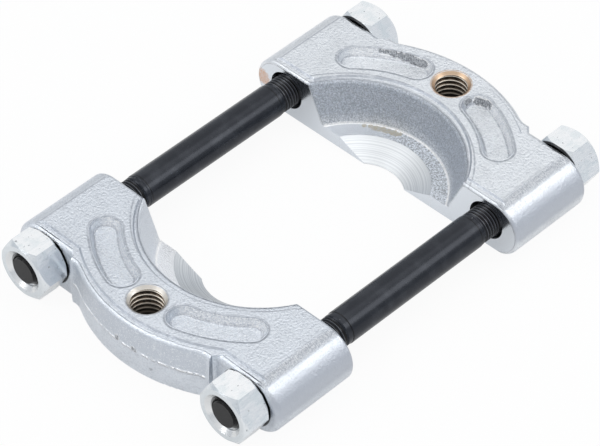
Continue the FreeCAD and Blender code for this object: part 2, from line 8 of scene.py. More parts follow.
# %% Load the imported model
import math
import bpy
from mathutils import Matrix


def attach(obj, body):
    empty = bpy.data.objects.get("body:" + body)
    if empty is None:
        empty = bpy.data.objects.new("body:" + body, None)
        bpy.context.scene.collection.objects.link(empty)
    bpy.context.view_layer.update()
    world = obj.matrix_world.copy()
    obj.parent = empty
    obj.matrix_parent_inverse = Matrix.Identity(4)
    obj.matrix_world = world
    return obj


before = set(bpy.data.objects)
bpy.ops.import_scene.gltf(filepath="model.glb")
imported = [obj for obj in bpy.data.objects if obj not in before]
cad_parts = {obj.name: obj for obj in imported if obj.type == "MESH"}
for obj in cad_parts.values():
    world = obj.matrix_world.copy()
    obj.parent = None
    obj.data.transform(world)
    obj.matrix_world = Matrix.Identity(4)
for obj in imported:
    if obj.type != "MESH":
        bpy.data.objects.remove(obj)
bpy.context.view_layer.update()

from types import SimpleNamespace

import bmesh
import bpy
from mathutils import Matrix, Vector

MM = 0.001
print("pieces:", sorted(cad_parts))

# %% [markdown]
# ## The camera
# The tool was photographed from its right front corner, with a long lens from about a metre and
# a half away, so parallel edges stay almost parallel. A camera's own axes are right, up and
# back, and they are the columns of its rotation. The picture was cropped a little off the lens's
# axis, and the shift puts that back without turning the view.

# %% Stand the camera where the photographer stood
CAMERA_PLACE = Vector((0.73993, -0.75332, 1.02363))
AZIMUTH = math.radians(44.354)
ELEVATION = math.radians(43.929)
ROLL = math.radians(-0.255)
LENS, SENSOR = 222.194, 36
SHIFT_X, SHIFT_Y = -0.01696, -0.00116

back = Vector((math.sin(AZIMUTH) * math.cos(ELEVATION),
               -math.cos(AZIMUTH) * math.cos(ELEVATION), math.sin(ELEVATION)))
level = Vector((math.cos(AZIMUTH), math.sin(AZIMUTH), 0))
upright = back.cross(level)
right = level * math.cos(ROLL) + upright * math.sin(ROLL)
up = upright * math.cos(ROLL) - level * math.sin(ROLL)
camera = bpy.data.objects.new("camera", bpy.data.cameras.new("camera"))
bpy.context.scene.collection.objects.link(camera)
camera.matrix_world = (Matrix.Translation(CAMERA_PLACE)
                       @ Matrix((right, up, back)).transposed().to_4x4())
camera.data.lens, camera.data.sensor_width = LENS, SENSOR
camera.data.shift_x, camera.data.shift_y = SHIFT_X, SHIFT_Y
bpy.context.scene.camera = camera
bpy.context.scene.view_settings.view_transform = "Standard"
print("camera to the middle of the tool, in mm:", round(CAMERA_PLACE.length / MM))

# %% [markdown]
# ## Shader maths as Python
# A finish here is mostly arithmetic on where a point lies: how far it is from the bowl's wall,
# from a hole or from the edge of a pocket. Drawing every Math node by hand would hide that
# arithmetic. So one small class wraps a socket, and `a + b` or `1 - mask` adds the node.

# %% The class that wraps a socket
class Shade:
    """A socket of a node tree that is used like a number."""

    def __init__(self, tree, socket=None):
        self.tree = tree
        self.socket = socket

    def node(self, kind, settings=None, sockets=None, out=0):
        """Add a node: first its settings, then the values or links of its sockets."""
        made = self.tree.nodes.new(kind)
        for name, value in (settings or {}).items():
            setattr(made, name, value)
        for name, value in (sockets or {}).items():
            if isinstance(value, Shade):
                self.tree.links.new(value.socket, made.inputs[name])
            else:
                made.inputs[name].default_value = value
        return Shade(self.tree, made.outputs[out])

    def twin(self, out):
        """Another output of the same node."""
        return Shade(self.tree, self.socket.node.outputs[out])

    def maths(self, operation, *values):
        return self.node("ShaderNodeMath", {"operation": operation}, dict(enumerate(values)))

    def __add__(self, other):
        return self.maths("ADD", self, other)

    def __sub__(self, other):
        return self.maths("SUBTRACT", self, other)

    def __rsub__(self, other):
        return self.maths("SUBTRACT", other, self)

    def __mul__(self, other):
        return self.maths("MULTIPLY", self, other)

    def __abs__(self):
        return self.maths("ABSOLUTE", self)

    __radd__ = __add__
    __rmul__ = __mul__

    def least(self, other):
        return self.maths("MINIMUM", self, other)

    def most(self, other):
        return self.maths("MAXIMUM", self, other)

    def rise(self, low, high):
        """0 below the first value, 1 above the second, and a smooth climb between them."""
        return self.node("ShaderNodeMapRange", {"interpolation_type": "SMOOTHSTEP"},
                         {"Value": self, "From Min": low, "From Max": high})

    def fall(self, low, high):
        return 1 - self.rise(low, high)


print("a socket can be used like a number")

# %% [markdown]
# Three more helpers are used all the time. Colours are blended by a Mix node, because a Math node
# would turn them grey, and a colour that is the same all over is simply worked out in Python.

# %% Blend colours and measure distances
def mix(first, second, share):
    """A colour that goes from the first to the second as the share goes from 0 to 1."""
    first, second = ((*c, 1) if isinstance(c, tuple) else c for c in (first, second))
    return share.node("ShaderNodeMix", {"data_type": "RGBA"}, {0: share, 6: first, 7: second}, 2)


def times(brightness, colour):
    """A plain colour made brighter or darker."""
    return tuple(brightness * part for part in colour)


def distance(across, along):
    """The length of a flat vector, from its two parts."""
    return across.maths("SQRT", across * across + along * along)


WHITE = (1, 1, 1)
print("half of white is", times(0.5, WHITE))

# %% [markdown]
# Every finish starts the same way: a new material, its Principled shader, and the point's place
# on the tool in millimetres. Object coordinates are used, because the pieces' objects sit at the
# origin and move with their bodies, so a stain stays on its jaw when the jaw slides.

# %% Start a finish
def new_finish(name):
    """A new material, a Shade to build with, and its shader node."""
    material = bpy.data.materials.new(name)
    material.use_nodes = True
    tree = material.node_tree
    return material, Shade(tree), tree.nodes["Principled BSDF"]


def place_in_mm(shade):
    """The point's place on the tool, as one vector and as its three parts."""
    spot = shade.node("ShaderNodeTexCoord", out="Object")
    spot = shade.node("ShaderNodeVectorMath", {"operation": "SCALE"},
                      {0: spot, "Scale": 1 / MM})
    x = shade.node("ShaderNodeSeparateXYZ", sockets={0: spot}, out="X")
    return spot, x, x.twin("Y"), x.twin("Z")


def facing(shade):
    """How far the surface faces along the studs, and how far it faces up."""
    normal = shade.node("ShaderNodeTexCoord", out="Normal")
    y = shade.node("ShaderNodeSeparateXYZ", sockets={0: normal}, out="Y")
    return y, y.twin("Z")


def finish_with(shader, shade, colour, roughness, height, metallic=1):
    """Plug colour, roughness and a height in millimetres into the shader."""
    bump = shade.node("ShaderNodeBump", None, {"Height": height, "Distance": MM})
    for name, value in (("Base Color", colour), ("Roughness", roughness), ("Normal", bump)):
        shade.tree.links.new(value.socket, shader.inputs[name])
    shader.inputs["Metallic"].default_value = metallic


print("finishes can be started")

# %% [markdown]
# Metal that was forged, turned or torn is never even, so each finish needs noise. Plain noise
# gives lumps, noise of one number gives the rings of a lathe, and noise of a stretched place
# gives streaks. The size of a lump is given in millimetres, so it can be measured on the photo.

# %% Noise for forged and turned metal
def lumps(spot, size, detail=2, roughness=0.5):
    """Noise from 0 to 1 whose lumps are about so many millimetres across."""
    return spot.node("ShaderNodeTexNoise", None,
                     {"Vector": spot, "Scale": 1 / size, "Detail": detail,
                      "Roughness": roughness}, "Fac")


def rings(radius, size, detail=3):
    """Noise that changes only with the radius, like the marks of a turning tool."""
    return radius.node("ShaderNodeTexNoise", {"noise_dimensions": "1D"},
                       {"W": radius, "Scale": 1 / size, "Detail": detail}, "Fac")


def stretched(spot, factors):
    """The place with each direction scaled, which draws noise out into streaks."""
    return spot.node("ShaderNodeVectorMath", {"operation": "MULTIPLY"}, {0: spot, 1: factors})


print("noise is ready")

# %% [markdown]
# ## The plated forging
# A jaw is forged, milled where it must be flat, and then zinc plated. The plating is one bright
# bluish metal, and what differs from face to face is what lies under it: orange peel on the
# forged top, a darker rough wall in the bowl, turned rings on the cone that lifts the bearing,
# and a ground parting face. Painted shade and painted highlights are laid over some faces too.
# The masks are distances to those faces, from the same sizes that the jaw was built with. That
# needs no unwrapping and follows every edge exactly.

# %% Sizes of the jaw that its finish needs, in millimetres
PARTING, SEAT = 46.2, 87.4
TOP, BORDER, LEDGE = 25.0, 24.1, 6.1
PARTING_LINE = 11.5
CONE_AXIS, CONE_TOP = 31.8, 28.8
FOOT_AXIS, FOOT_RADIUS = 28.6, 38.1
MOUTH_AXIS, MOUTH_RADIUS = 22.6, 48.5
ARC_END = 36.5
TAP_AXIS, HOLE_RING = 85.5, 8.6
STUD_HALF, STUD_LEVEL, NUT_FOOT = 55.0, 12.5, 12.75
POCKET_AXIS, POCKET_RADIUS = 27.0, 58.2
POCKET_HALF, POCKET_FLOOR_HALF = 6.3, 4.7
POCKET_NEAR, POCKET_FAR = math.radians(16.4), math.radians(43.1)


def bowl_wall(across, along, up):
    """How far a point is from the bowl's drafted wall; less than 0 is inside the bowl."""
    share = (up - LEDGE) * (1 / (TOP - LEDGE))
    axis = FOOT_AXIS + share * (MOUTH_AXIS - FOOT_AXIS)
    radius = FOOT_RADIUS + share * (MOUTH_RADIUS - FOOT_RADIUS)
    return distance(across, along - axis) - radius


def pocket_edge(across, along):
    """How far a point is outside the middle line of a kidney pocket."""
    turn = across.maths("ARCTAN2", across, along - POCKET_AXIS)
    beside = abs(distance(across, along - POCKET_AXIS) - POCKET_RADIUS)
    near_end, far_end = (distance(across - POCKET_RADIUS * math.sin(end),
                                  along - (POCKET_AXIS + POCKET_RADIUS * math.cos(end)))
                         for end in (POCKET_NEAR, POCKET_FAR))
    hair = 0.001
    within = turn.rise(POCKET_NEAR - hair, POCKET_NEAR) * turn.fall(POCKET_FAR, POCKET_FAR + hair)
    return within * beside + (1 - within) * near_end.least(far_end)


print("a bowl is", round(2 * MOUTH_RADIUS, 1), "mm wide at its mouth")

# %% [markdown]
# Each face of the jaw now gets a mask that is 1 on the face and 0 elsewhere. A face is told from
# its neighbours by where it lies, by its distance from an axis, and by how it faces. Both jaws
# share the masks, because the rear jaw is the front one turned round, and mostly only the
# distance from the middle counts. The ears' shoulder and outside look at the side too, because
# the right-hand ones get painted shade, and their shoulder is also rougher.

# %% Tell the faces of a jaw apart
def jaw_faces(shade):
    """Masks for the faces of a jaw, with the distances that they come from."""
    spot, x, y, z = place_in_mm(shade)
    faces_y, faces_up = facing(shade)
    across, along = abs(x), abs(y)
    off_wall = bowl_wall(across, along, z)
    cone_radius = distance(across, along - CONE_AXIS)
    kidney = pocket_edge(across, along)
    hole_radius = distance(across, along - TAP_AXIS)
    nut_radius = distance(across - STUD_HALF, z - STUD_LEVEL)

    flat_up = faces_up.rise(0.9, 0.985)
    near_top = z.rise(TOP - 5, TOP - 4)
    wall = abs(off_wall).fall(0.5, 1.0) * z.rise(LEDGE, LEDGE + 0.4)
    cone = cone_radius.fall(CONE_TOP - 0.05, CONE_TOP + 0.05) * z.fall(LEDGE, LEDGE + 0.1)
    ledge = z.fall(LEDGE + 0.3, LEDGE + 0.6) * flat_up * (1 - cone)
    parting = abs(faces_y).rise(0.99, 0.999) * along.fall(PARTING + 0.1, PARTING + 0.3)
    in_pocket = (kidney.fall(POCKET_HALF - 0.3, POCKET_HALF + 0.3)
                 * z.rise(TOP - 5.5, TOP - 4.5))
    shoulder = x.rise(59.5, 61.5) * x.fall(62.5, 65) * faces_up.rise(0.7, 0.8)
    arc_side = (along.rise(SEAT - 30, SEAT - 20) * (1 - wall) * abs(faces_up).fall(0.3, 0.6)
                * (1 - parting) * across.fall(ARC_END - 0.5, ARC_END + 0.5))
    return SimpleNamespace(
        spot=spot, x=x, z=z, faces_y=faces_y, off_wall=off_wall, cone_radius=cone_radius,
        kidney=kidney, flat_up=flat_up, near_top=near_top, wall=wall, cone=cone, ledge=ledge,
        parting=parting, in_pocket=in_pocket, shoulder=shoulder, arc_side=arc_side,
        # the right ears' outer side, which gets painted shade
        right_ear_shade=x.rise(65.5, 68.5) * faces_up.rise(-0.2, 0.1),
        peeled=(1 - cone) * (1 - parting) * (1 - wall) * (1 - ledge),
        rough=(wall + ledge + in_pocket * 0.5 + shoulder).least(1),
        round_hole=hole_radius.fall(HOLE_RING - 0.3, HOLE_RING + 0.3) * flat_up,
        # the ring round a nut's foot on the seat, where shade is painted
        shade_under_nut=(abs(along - SEAT).fall(0.1, 0.3)
                   * nut_radius.fall(NUT_FOOT - 0.25, NUT_FOOT + 0.25)))


print("a jaw's faces can be told apart")

# %% [markdown]
# Seen close, the forged skin is several noises at once. Orange peel is a millimetre across, grit
# and sparkle are finer, and slow clouds make one end of a face a little darker than the other.
# Along the side of the arc runs the flash line, where the two halves of the forging die met.

# %% The skin of a forging
def forged_skin(face):
    """The noises of a jaw's skin."""
    spot = face.spot
    line = abs(face.z - PARTING_LINE - 0.4).fall(0.1, 0.9)
    return SimpleNamespace(
        peel=lumps(spot, 1.05, 3, 0.6),
        grit=lumps(spot, 0.5, 3, 0.65),
        spark=lumps(spot, 0.6, 2).rise(0.56, 0.66),
        grain=lumps(spot, 0.65, 4, 0.65).rise(0.38, 0.62),
        broken=lumps(spot, 2.5, 3).rise(0.3, 0.6),
        clouds=lumps(spot, 9, 3),
        turned=rings(face.cone_radius, 0.6, 5),
        torn=lumps(stretched(spot, (1.6, 1.6, 0.6)), 0.7, 3, 0.6).rise(0.42, 0.6),
        flash=line * lumps(spot, 1.7, 4).rise(0.38, 0.58) * face.arc_side)


def jaw_height(face, skin, flawed):
    """The bump of a jaw, in millimetres."""
    peel = face.peeled * (skin.peel * (0.26 + 0.26 * face.flat_up) + skin.grit * 0.16)
    lip = face.kidney.rise(POCKET_HALF - 0.6, POCKET_HALF + 1.3)
    cove = face.kidney.rise(POCKET_FLOOR_HALF - 1.2, POCKET_FLOOR_HALF + 0.3) * face.in_pocket
    raised = face.flat_up * face.near_top
    return (peel + face.rough * skin.grit * 0.45 + skin.turned * face.cone * 0.06
            + (lip + cove) * raised * 0.4 + skin.flash * 0.7
            + flawed * lumps(face.spot, 0.9, 4, 0.7) * 0.9)


print("the forging has a skin")

# %% [markdown]
# The colours go on in layers, as a painter would lay them: each step mixes one colour over what
# is there, where its mask says. First comes the plating itself, with painted shade in the hollows
# of its peel and on its sides, painted glints, and the flash line painted white as a highlight.
# Then come the creases along the pockets' lips and the bowl's rim, painted darker as shade.

# %% Colour the forged faces
# painted shade, for the peel's hollows and the raised face's edge
PAINTED_SHADE_GREY = (0.48, 0.51, 0.56)
# painted glints: flecks of highlight laid into the colour
PAINTED_GLINT = (0.90, 0.915, 0.93)
# painted shade for the upper part of the arc's side
ARC_SIDE_SHADE = (0.56, 0.60, 0.66)
# painted shade for the right ears' outer sides
EAR_SIDE_SHADE = (0.50, 0.53, 0.585)
# painted shade for the creases
CREASE_SHADE = (0.40, 0.425, 0.47)


def paint_forging(colour, face, skin):
    """Painted shade in hollows and on sides, painted glints, and the flash line painted white."""
    above_line = face.arc_side * face.z.rise(PARTING_LINE + 1, PARTING_LINE + 2)
    # painted shade in the hollows of the orange peel and the grit
    peel_hollow_shade = skin.peel.fall(0.38, 0.5) * 0.3 + skin.grit.fall(0.35, 0.5) * 0.35
    colour = mix(colour, PAINTED_SHADE_GREY, peel_hollow_shade * face.peeled)
    # painted glints on the forged skin
    colour = mix(colour, PAINTED_GLINT, skin.spark * 0.3 * face.peeled)
    # painted shade in patches on the arc's side above the flash line
    colour = mix(colour, ARC_SIDE_SHADE, above_line * (0.55 + 0.4 * skin.broken))
    # painted shade on the right ears' outer sides
    colour = mix(colour, EAR_SIDE_SHADE, face.right_ear_shade * 0.95)
    # painted glints on the arc's side above the flash line
    colour = mix(colour, PAINTED_GLINT, above_line * skin.spark * 0.5)
    # the flash line painted white: a painted highlight along its real ridge
    return mix(colour, WHITE, skin.flash * 0.75)


def paint_creases(colour, face, skin):
    """Painted shade along the pockets, the bowl's rim and the raised face's edge."""
    # painted shade along the creases of the pockets and the bowl's rim
    creases = (abs(face.kidney - POCKET_HALF - 0.7).fall(0.2, 0.65)
               + abs(face.kidney - POCKET_FLOOR_HALF + 0.2).fall(0.2, 0.65)
               + abs(face.off_wall - 3.3).fall(0.15, 0.5)
               + abs(face.off_wall - 1.1).fall(0.2, 0.7)).least(1)
    on_top = face.near_top * face.flat_up.most(0.6) * (1 - face.wall)
    patchy = 0.4 + 0.5 * skin.broken
    colour = mix(colour, CREASE_SHADE, creases * on_top * patchy)
    # the raised face's edge also gets painted shade
    raised_edge = (face.z.rise(BORDER, BORDER + 0.15) * face.z.fall(TOP - 0.15, TOP)
                   * (1 - face.flat_up))
    return mix(colour, PAINTED_SHADE_GREY, raised_edge * patchy)


print("forged faces can be coloured")

# %% [markdown]
# Inside the bowl the draft left a rough wall that looks darker, with painted glints near its foot
# and a painted highlight along the line where it meets the ledge. The cone and the parting face
# were cut after forging, so they are smooth: the cone keeps the rings of the lathe, and the
# parting face is ground.

# %% Colour the bowl and the machined faces
# painted shade for the right ears' shoulder
SHOULDER_SHADE = (0.44, 0.47, 0.52)
TURNED, TURNED_DARK = (0.73, 0.755, 0.775), (0.61, 0.635, 0.66)
GROUND = (0.76, 0.80, 0.85)


def paint_bowl(colour, face, skin, look):
    """Wall and ledge between two greys, with painted glints and a painted highlight at the toe.
    """
    dim, bright = 1 - look.contrast, 1 + look.contrast
    foot = 1 - face.z.rise(LEDGE + 1, LEDGE + 6)
    left_glint_share = 1 - face.x.rise(5, 30) * 0.7
    wall = mix(times(dim, look.wall), times(bright, look.wall), 0.2 + 0.6 * skin.grain)
    # painted glints near the wall's foot, with more flecks towards the left
    glints = foot * (0.15 + 0.4 * skin.grain) + skin.spark * left_glint_share * 0.4
    colour = mix(colour, mix(wall, PAINTED_GLINT, glints.least(1)), face.wall)
    smooth = 0.6
    ledge_grain = smooth + (skin.grain - smooth) * face.x.rise(-24, 0)
    ledge = mix(times(dim, look.ledge), times(bright, look.ledge), ledge_grain)
    colour = mix(colour, ledge, face.ledge)
    # a painted highlight along the toe, where the wall meets the ledge
    toe_highlight = (abs(face.off_wall + 0.15).fall(0.3, 0.6) * face.z.fall(LEDGE + 0.5, LEDGE + 1.1)
           * face.z.rise(LEDGE - 0.1, LEDGE))
    return mix(colour, WHITE, toe_highlight * (0.6 + 0.4 * skin.grain))


def paint_sparkle(colour, face, skin):
    """Painted shade and glints on the right ears' rough shoulder; painted light on pocket walls.
    """
    # painted shade with painted glints on the right ears' shoulder
    colour = mix(colour, mix(SHOULDER_SHADE, PAINTED_GLINT, skin.grain * 0.7), face.shoulder * 0.8)
    # a painted highlight on the pocket walls that face the front
    lit_pocket_wall = face.in_pocket * (1 - face.flat_up) * face.faces_y.fall(-0.8, -0.2)
    colour = mix(colour, WHITE, lit_pocket_wall * (0.25 + 0.75 * skin.grain))
    # painted glints inside the pockets
    return mix(colour, PAINTED_GLINT, skin.spark * face.in_pocket * 0.5)


def paint_machined(colour, face, skin):
    """The turned cone and the ground parting face."""
    colour = mix(colour, mix(TURNED, TURNED_DARK, skin.turned.rise(0.42, 0.6)), face.cone)
    return mix(colour, GROUND, face.parting)


print("the bowl and the machined faces can be coloured")

# %% [markdown]
# ## Torn metal and stains
# Real forgings have faults. Two of the rear pockets' walls are torn, the front jaw's flash line
# is nicked, and copper shows through on one ear and round the rear hole. A fault is a row of
# round patches whose edge is moved in and out by noise, so that it looks ragged, not stamped.

# %% Ragged patches
def stain_mask(spot, patches, ragged):
    """1 within soft ragged patches; each is (place, radius), in millimetres."""
    edge = (lumps(spot, 1.6, 4, 0.6) - 0.5) * ragged * 2
    total = None
    for place, radius in patches:
        away = spot.node("ShaderNodeVectorMath", {"operation": "DISTANCE"},
                         {0: spot, 1: place}, "Value")
        share = (away + edge * radius).fall(radius * 0.6, radius)
        total = share if total is None else total.most(share)
    return total


def along_arc(middle, radius, height, turns, size):
    """Patches side by side on an arc about a middle, at so many degrees from the Y axis."""
    return [((middle[0] + radius * math.sin(math.radians(turn)),
              middle[1] + radius * math.cos(math.radians(turn)), height), size) for turn in turns]


BOWL_FOOT, POCKET_ARC, RIGHT_POCKET_END = (0, FOOT_AXIS), (0, POCKET_AXIS), (16.4, 82.8)
EAR_COPPER = [((-68.5, 46.2, 12.0), 4.5)]
LEDGE_STAIN = (along_arc(BOWL_FOOT, 36.8, LEDGE, range(-37, -9, 4), 1.3)
               + along_arc(BOWL_FOOT, 36.0, LEDGE, range(-30, -14, 3), 1.8))
TORN_POCKETS = (along_arc(POCKET_ARC, 64.2, 24.4, range(-33, -29), 0.9)
                + along_arc(POCKET_ARC, 64.0, 24.0, range(-29, -25), 1.4)
                + along_arc(POCKET_ARC, 63.8, 23.7, range(-25, -20), 1.9)
                + along_arc(POCKET_ARC, 63.6, 23.2, range(-20, -15), 2.1)
                + along_arc(RIGHT_POCKET_END, 5.8, 23.4, (-95, -78, 12, 20, 30), 1.5)
                + along_arc(RIGHT_POCKET_END, 5.2, 22.9, (-40, -30, -20, -8, 2), 1.9))
NICKED_LINE = [((-2.5, -99.4, 13.0), 1.6), ((6.3, -99.2, 12.5), 1.4)]
DARK_SPOT = [((14.0, -97.5, 6.0), 1.2)]
print("patches of torn metal:", len(TORN_POCKETS))

# %% [markdown]
# ## One finish for each jaw
# The two jaws were plated alike but lie differently in the light tent, and the rear bowl is much
# rougher. So one function makes both finishes, and each jaw has a look of its own, whose
# plating, wall and ledge colours are partly painted light and shade for where the jaw lies.

# %% The plating
TORN_DARK, TORN_PALE = (0.24, 0.255, 0.28), (0.60, 0.62, 0.65)
# painted shade for the gap round a nut's foot
NUT_GAP_SHADE = (0.05, 0.052, 0.055)


def make_plating(name, look):
    """A jaw's finish; each of its stains is (patches, colour)."""
    material, shade, shader = new_finish(name)
    face = jaw_faces(shade)
    skin = forged_skin(face)
    flawed = stain_mask(face.spot, look.flaws, 0.8)
    colour = mix(look.plating, times(0.93, look.plating), skin.clouds.rise(0.35, 0.7))
    colour = paint_forging(colour, face, skin)
    colour = paint_creases(colour, face, skin)
    colour = paint_bowl(colour, face, skin, look)
    colour = paint_sparkle(colour, face, skin)
    colour = paint_machined(colour, face, skin)
    colour = mix(colour, WHITE, flawed.rise(0.05, 0.3) * (0.5 + 0.5 * skin.torn))
    colour = mix(colour, mix(TORN_DARK, TORN_PALE, skin.torn), flawed.rise(0.4, 0.8) * 0.9)
    # painted shade in the gap round each nut's foot
    colour = mix(colour, NUT_GAP_SHADE, face.shade_under_nut)
    colour = mix(colour, look.hole_ring, face.round_hole * (0.5 + 0.4 * skin.broken))
    for patches, tint in look.stains:
        soaked = stain_mask(face.spot, patches, 0.6) * (0.35 + 0.5 * skin.grain)
        colour = mix(colour, tint, soaked)
    roughness = (0.26 + 0.08 * skin.clouds + 0.14 * face.rough - 0.1 * face.parting
                 + 0.08 * face.cone)
    finish_with(shader, shade, colour, roughness, jaw_height(face, skin, flawed))
    print(name, "has", len(material.node_tree.nodes), "nodes")
    return material


rear_plating = make_plating("zinc_plated_rear_jaw", SimpleNamespace(
    plating=(0.81, 0.84, 0.875), wall=(0.46, 0.495, 0.55), ledge=(0.66, 0.69, 0.73),
    contrast=0.36, hole_ring=(0.58, 0.41, 0.28), flaws=TORN_POCKETS,
    stains=[(EAR_COPPER, (0.62, 0.33, 0.17)), (LEDGE_STAIN, (0.50, 0.44, 0.31))]))
front_plating = make_plating("zinc_plated_front_jaw", SimpleNamespace(
    plating=(0.72, 0.76, 0.815), wall=(0.74, 0.775, 0.825), ledge=(0.87, 0.885, 0.91),
    contrast=0.09, hole_ring=(0.40, 0.41, 0.43), flaws=NICKED_LINE,
    stains=[(DARK_SPOT, (0.35, 0.37, 0.40))]))

# %% [markdown]
# ## The black studs
# The studs are turned bars with a black oxide skin. It is thin and satin, so the bar looks almost
# black with one long soft highlight. Fine rings from the lathe and a few pale scuffs keep it from
# looking like painted plastic. The thread's grooves are painted darker as shade and its crests
# lighter as a highlight, and a black line of painted shade parts the thicker shank from the
# collar.

# %% Black oxide
BLACK_OXIDE, OXIDE_CLOUD = (0.017, 0.020, 0.027), (0.032, 0.036, 0.045)
# the crests' colour is a painted highlight
SCUFF, CREST_HIGHLIGHT = (0.20, 0.205, 0.215), (0.12, 0.125, 0.135)
# painted shade for the thread's grooves and the shank's step
THREAD_SHADE = (0.003, 0.003, 0.004)
SHANK_END, THREAD_START, CREST_RADIUS = 36.4, 39.4, 6.9


def make_black_oxide():
    material, shade, shader = new_finish("black_oxide_stud")
    spot, x, y, z = place_in_mm(shade)
    along = abs(y)
    radius = distance(abs(x) - STUD_HALF, z - STUD_LEVEL)
    streaks = lumps(stretched(spot, (1, 0.05, 1)), 1.2, 3)
    clouds = lumps(spot, 7, 3)
    scuffs = lumps(stretched(spot, (1, 0.5, 1)), 0.8, 2).rise(0.70, 0.76)
    threaded = along.rise(THREAD_START - 0.2, THREAD_START + 0.2)
    collar = along.rise(SHANK_END - 0.2, SHANK_END + 0.2) * (1 - threaded)
    colour = mix(BLACK_OXIDE, OXIDE_CLOUD, clouds.rise(0.4, 0.75))
    colour = mix(colour, SCUFF, scuffs * (0.10 + 0.6 * collar))
    groove = radius.fall(CREST_RADIUS - 0.35, CREST_RADIUS)
    crest_highlight_share = radius.rise(CREST_RADIUS, CREST_RADIUS + 0.07)
    # painted shade in the thread's grooves, then a painted highlight on its crests
    colour = mix(colour, THREAD_SHADE, threaded * groove)
    colour = mix(colour, CREST_HIGHLIGHT, threaded * crest_highlight_share * 0.6)
    # a line of painted shade at the step from the shank to the collar
    colour = mix(colour, THREAD_SHADE, abs(along - SHANK_END).fall(0.15, 0.3) * 0.8)
    roughness = 0.2 + 0.05 * clouds + 0.04 * streaks
    height = rings(y, 0.4, 2) * 0.006 + streaks * 0.004
    finish_with(shader, shade, colour, roughness, height, metallic=0.55)
    return material


black_oxide = make_black_oxide()
print("nodes in the studs' finish:", len(black_oxide.node_tree.nodes))

# %% [markdown]
# ## The bright nuts
# The nuts are bright zinc, paler than the jaws and without their orange peel. Their end faces are
# turned, so they are greyer and carry fine rings about the stud's axis. The countersink is
# polished, with one dark line where the first turn of the thread runs out, and the foot of a nut
# gets painted shade where it sits on its jaw.

# %% Bright zinc
BRIGHT_ZINC, ZINC_CLOUD = (0.93, 0.945, 0.96), (0.82, 0.865, 0.89)
END_FACE_GREY, COUNTERSINK = (0.68, 0.72, 0.75), (0.78, 0.79, 0.795)
# the last of these is painted shade for a nut's foot
RUNOUT, SPECK, NUT_FOOT_SHADE = (0.16, 0.17, 0.18), (0.25, 0.27, 0.29), (0.04, 0.042, 0.045)
SINK_RADIUS, RUNOUT_RADIUS = 9.3, 7.4


def make_bright_zinc():
    material, shade, shader = new_finish("bright_zinc_nut")
    spot, x, y, z = place_in_mm(shade)
    radius = distance(abs(x) - STUD_HALF, z - STUD_LEVEL)
    end_face = abs(facing(shade)[0]).rise(0.6, 0.8)
    clouds = lumps(spot, 6, 3)
    specks = lumps(spot, 1.1, 3).rise(0.69, 0.73)
    rubbed = lumps(stretched(spot, (1, 0.4, 1)), 1.6, 4, 0.65)
    sink = radius.fall(SINK_RADIUS - 0.1, SINK_RADIUS + 0.1)
    runout = abs(radius - RUNOUT_RADIUS).fall(0.08, 0.3)
    colour = mix(BRIGHT_ZINC, ZINC_CLOUD, (clouds * 0.6 + rubbed * 0.4).rise(0.42, 0.62))
    colour = mix(colour, END_FACE_GREY, end_face * 0.8)
    colour = mix(colour, COUNTERSINK, sink)
    colour = mix(colour, RUNOUT, runout * 0.7)
    colour = mix(colour, SPECK, specks * 0.6)
    # painted shade round the foot of the nut, where it sits on its jaw
    colour = mix(colour, NUT_FOOT_SHADE, abs(y).fall(SEAT + 0.5, SEAT + 0.8))
    height = rings(radius, 0.35) * end_face * 0.03 + rubbed * 0.10 + specks * -0.15
    finish_with(shader, shade, colour, 0.17 + 0.1 * clouds, height)
    return material


bright_zinc = make_bright_zinc()
print("nodes in the nuts' finish:", len(bright_zinc.node_tree.nodes))

# %% [markdown]
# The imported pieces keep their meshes. Only the material in their slots changes.

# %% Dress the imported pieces
for node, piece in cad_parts.items():
    if node.endswith("nut"):
        finish = bright_zinc
    elif node.endswith("stud"):
        finish = black_oxide
    else:
        finish = front_plating if node.startswith("front") else rear_plating
    piece.data.materials.clear()
    piece.data.materials.append(finish)
    print(node, "->", finish.name)

# %% [markdown]
# ## Screw threads
# A thread is one ridge that climbs round a cylinder. It could be a Screw modifier, but here the
# crest has to shrink where the stud's end is chamfered, and where the tapped hole is countersunk.
# So the ridge is built turn by turn: at each step of the helix four points are placed, two on the
# cylinder and two at the crest, and a limit says how far the crest may reach there.

# %% Build one helical ridge
STEPS_IN_A_TURN = 48
SHARP_FROM = math.radians(25)


def thread_ridge(shape, pitch, start, turns, root, limit, foot, crest):
    """Add a ridge round the Z axis to a bmesh, climbing from a start for so many turns.

    The limit gives the crest's radius at a height; foot and crest are half widths.
    """
    before = None
    for step in range(int(turns * STEPS_IN_A_TURN) + 1):
        turn = math.tau * step / STEPS_IN_A_TURN
        height = start + pitch * step / STEPS_IN_A_TURN
        profile = []
        for offset, top in ((-foot, False), (-crest, True), (crest, True), (foot, False)):
            radius = limit(height + offset) if top else root
            profile.append(shape.verts.new((radius * math.cos(turn), radius * math.sin(turn),
                                            height + offset)))
        if before:
            for low, high in zip(range(3), range(1, 4)):
                shape.faces.new((before[low], before[high], profile[high], profile[low]))
        else:
            shape.faces.new(profile)
        before = profile
    shape.faces.new(before[::-1])


def piece_from(shape, name, place, finish, body):
    """Turn a bmesh into a piece that rides on a body of the tool."""
    bmesh.ops.recalc_face_normals(shape, faces=shape.faces)
    shape.transform(place)
    mesh = bpy.data.meshes.new(name)
    shape.to_mesh(mesh)
    shape.free()
    mesh.materials.append(finish)
    mesh.shade_smooth()
    mesh.set_sharp_from_angle(angle=SHARP_FROM)
    piece = bpy.data.objects.new(name, mesh)
    bpy.context.scene.collection.objects.link(piece)
    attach(piece, body)
    print(name, "has", len(mesh.polygons), "faces")


# %% [markdown]
# A stud's thread starts at the collar, where it runs out softly, and ends on the chamfer. The
# ridge's foot is sunk a little into the stud's core, so no gap shows between the two.

